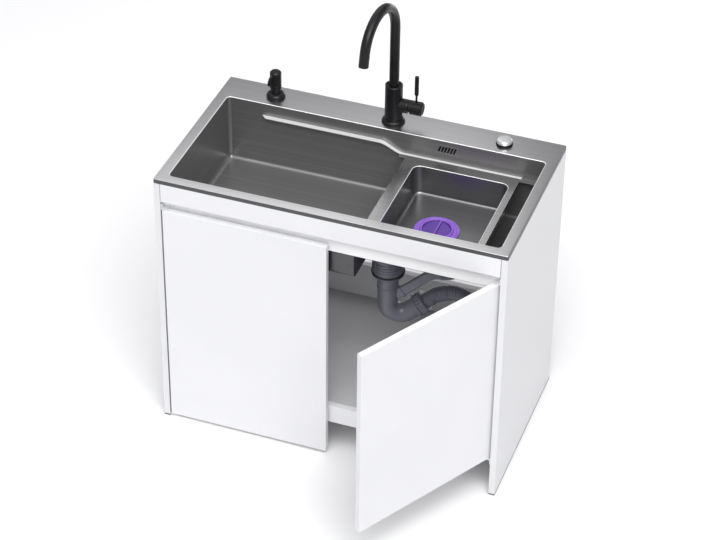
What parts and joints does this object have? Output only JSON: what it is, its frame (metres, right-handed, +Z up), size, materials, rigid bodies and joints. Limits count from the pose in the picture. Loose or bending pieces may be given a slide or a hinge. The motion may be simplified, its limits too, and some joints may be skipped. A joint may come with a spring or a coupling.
{
  "type": "kitchen sink unit",
  "caption": "Free-standing white kitchen sink unit: steel sink with ledges and drop-in tray, swivel tap, soap pump, pop-up waste with hose, inset doors on pivot pins.",
  "frame": {"origin": "middle of the cabinet's footprint on the floor, at the centre of the centre foot's pad", "axes": "+X to the right seen from the front, +Y to the back, +Z up"},
  "size_m": [1, 0.9499, 1.2489],
  "materials": {
    "white_board": "satin white lacquer",
    "grey_plastic": "matte grey",
    "brushed_steel": "brushed, satin",
    "zinc": "zinc plated",
    "chrome": "polished",
    "black_coat": "matte black coating",
    "slate_plastic": "smooth moulded",
    "black_rubber": "matte",
    "purple_silicone": "satin",
    "milky_plastic": "milky, smooth"
  },
  "bodies": {
    "unit": {"back_rail_lower": "white_board", "back_rail_upper": "white_board", "base_strip_left": "grey_plastic", "base_strip_right": "grey_plastic", "bottom_board": "white_board", "bottom_front_rail": "white_board", "centre_foot": "grey_plastic", "finger_pull_rail": "white_board", "front_apron": "white_board", "hose_connector": "slate_plastic", "knob_base": "black_coat", "knob_housing": "slate_plastic", "knob_nut": "zinc", "ledge_front": "brushed_steel", "ledge_rear": "brushed_steel", "overflow_box": "slate_plastic", "overflow_grille": "brushed_steel", "overflow_pipe": "slate_plastic", "pivot_bracket_left_lower": "zinc", "pivot_bracket_left_upper": "zinc", "pivot_bracket_right_lower": "zinc", "pivot_bracket_right_upper": "zinc", "pump_collar": "black_coat", "pump_nut": "slate_plastic", "side_panel_left": "white_board", "side_panel_right": "white_board", "sink": "brushed_steel", "sink_clip_left_front": "zinc", "sink_clip_left_rear": "zinc", "sink_clip_right_front": "zinc", "sink_clip_right_rear": "zinc", "soap_bottle": "milky_plastic", "tap_body": "black_coat", "tap_flange": "black_coat", "tap_nut": "zinc", "tap_shank": "zinc", "trap_bend": "slate_plastic", "trap_nut": "slate_plastic", "waste_flange": "chrome", "waste_gasket": "black_rubber", "waste_hose": "slate_plastic", "waste_housing": "slate_plastic"},
    "door_left": {"door_left": "white_board"},
    "door_right": {"door_right": "white_board"},
    "tray": {"tray": "brushed_steel"},
    "stopper": {"sink_stopper": "purple_silicone"},
    "knob": {"waste_knob": "chrome"},
    "waste_plug": {"waste_plug": "chrome"},
    "spout": {"tap_spout": "black_coat", "tap_aerator": "black_coat"},
    "cartridge": {"tap_cartridge": "zinc"},
    "handle": {"tap_handle": "black_coat", "tap_lever": "black_coat"},
    "pump_stem": {"pump_stem": "black_coat"},
    "pump_head": {"pump_head": "black_coat"}
  },
  "joints": [
    {"name": "left_door_swing", "type": "hinge", "parent": "unit", "child": "door_left", "pos_m": [-0.4685, -0.266, 0.37], "axis": [0, 0, -1], "range_deg": [0, 105]},
    {"name": "right_door_swing", "type": "hinge", "parent": "unit", "child": "door_right", "pos_m": [0.4685, -0.266, 0.43], "axis": [0, 0, 1], "range_deg": [-60, 45]},
    {"name": "tray_slide", "type": "slide", "parent": "unit", "child": "tray", "axis": [1, 0, 0], "range_m": [-0.012, 0.06]},
    {"name": "stopper_lift", "type": "slide", "parent": "tray", "child": "stopper", "axis": [0, 0, 1], "range_m": [0, 0.15]},
    {"name": "knob_push", "type": "slide", "parent": "unit", "child": "knob", "axis": [0, 0, -1], "range_m": [0, 0.005], "stiffness_N_per_m": 400},
    {"name": "plug_rise", "type": "slide", "parent": "unit", "child": "waste_plug", "axis": [0, 0, 1], "range_m": [0, 0.01]},
    {"name": "spout_swivel", "type": "hinge", "parent": "unit", "child": "spout", "pos_m": [0.013, 0.22, 0.94], "axis": [0, 0, 1], "continuous": true},
    {"name": "handle_turn", "type": "hinge", "parent": "unit", "child": "cartridge", "pos_m": [0.06, 0.22, 0.888], "axis": [1, 0, 0], "range_deg": [-45, 45]},
    {"name": "handle_pull", "type": "hinge", "parent": "cartridge", "child": "handle", "pos_m": [0.062, 0.22, 0.888], "axis": [0, 1, 0], "range_deg": [0, 14]},
    {"name": "pump_press", "type": "slide", "parent": "unit", "child": "pump_stem", "axis": [0, 0, -1], "range_m": [0, 0.012], "stiffness_N_per_m": 250},
    {"name": "pump_swivel", "type": "hinge", "parent": "pump_stem", "child": "pump_head", "pos_m": [-0.339, 0.22, 0.9], "axis": [0, 0, 1], "continuous": true}
  ],
  "couplings": [
    {"joint": "plug_rise", "follows": "knob_push", "ratio": 1.6}
  ]
}
